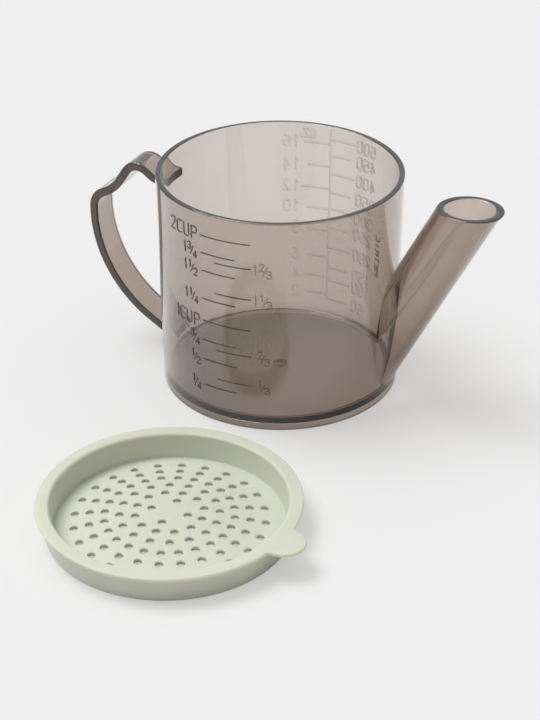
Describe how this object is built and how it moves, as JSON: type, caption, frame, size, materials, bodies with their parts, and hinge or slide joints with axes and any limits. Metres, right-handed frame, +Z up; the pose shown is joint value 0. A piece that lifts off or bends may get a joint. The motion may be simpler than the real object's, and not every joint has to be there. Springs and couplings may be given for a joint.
{
  "type": "gravy fat separator",
  "caption": "Smoky clear gravy fat separator: a round measuring cup with a strap handle, a slanted tube spout fed from its floor, and a loose domed strainer lid with a thumb tab.",
  "frame": {"origin": "on the table, at the centre of the cup's foot ring", "axes": "+Z up along the cup's axis, +X towards the pouring spout with the handle along -X; the lid lies on the table at -Y"},
  "size_m": [0.1734, 0.2132, 0.0893],
  "materials": {
    "smoky_clear_plastic": "polished, see-through, with a grey-brown tint",
    "sage_plastic": "smooth satin, opaque"
  },
  "bodies": {
    "cup": {"vessel": "smoky_clear_plastic", "pouring_spout": "smoky_clear_plastic", "handle": "smoky_clear_plastic", "cup_scale_marks": "smoky_clear_plastic", "ounce_scale_marks": "smoky_clear_plastic", "millilitre_scale_marks": "smoky_clear_plastic"},
    "lid": {"strainer_lid": "sage_plastic"}
  },
  "joints": [
    {"name": "lid_lift", "type": "slide", "parent": "cup", "child": "lid", "axis": [0, 0, 1], "range_m": [0, 0.12]}
  ]
}
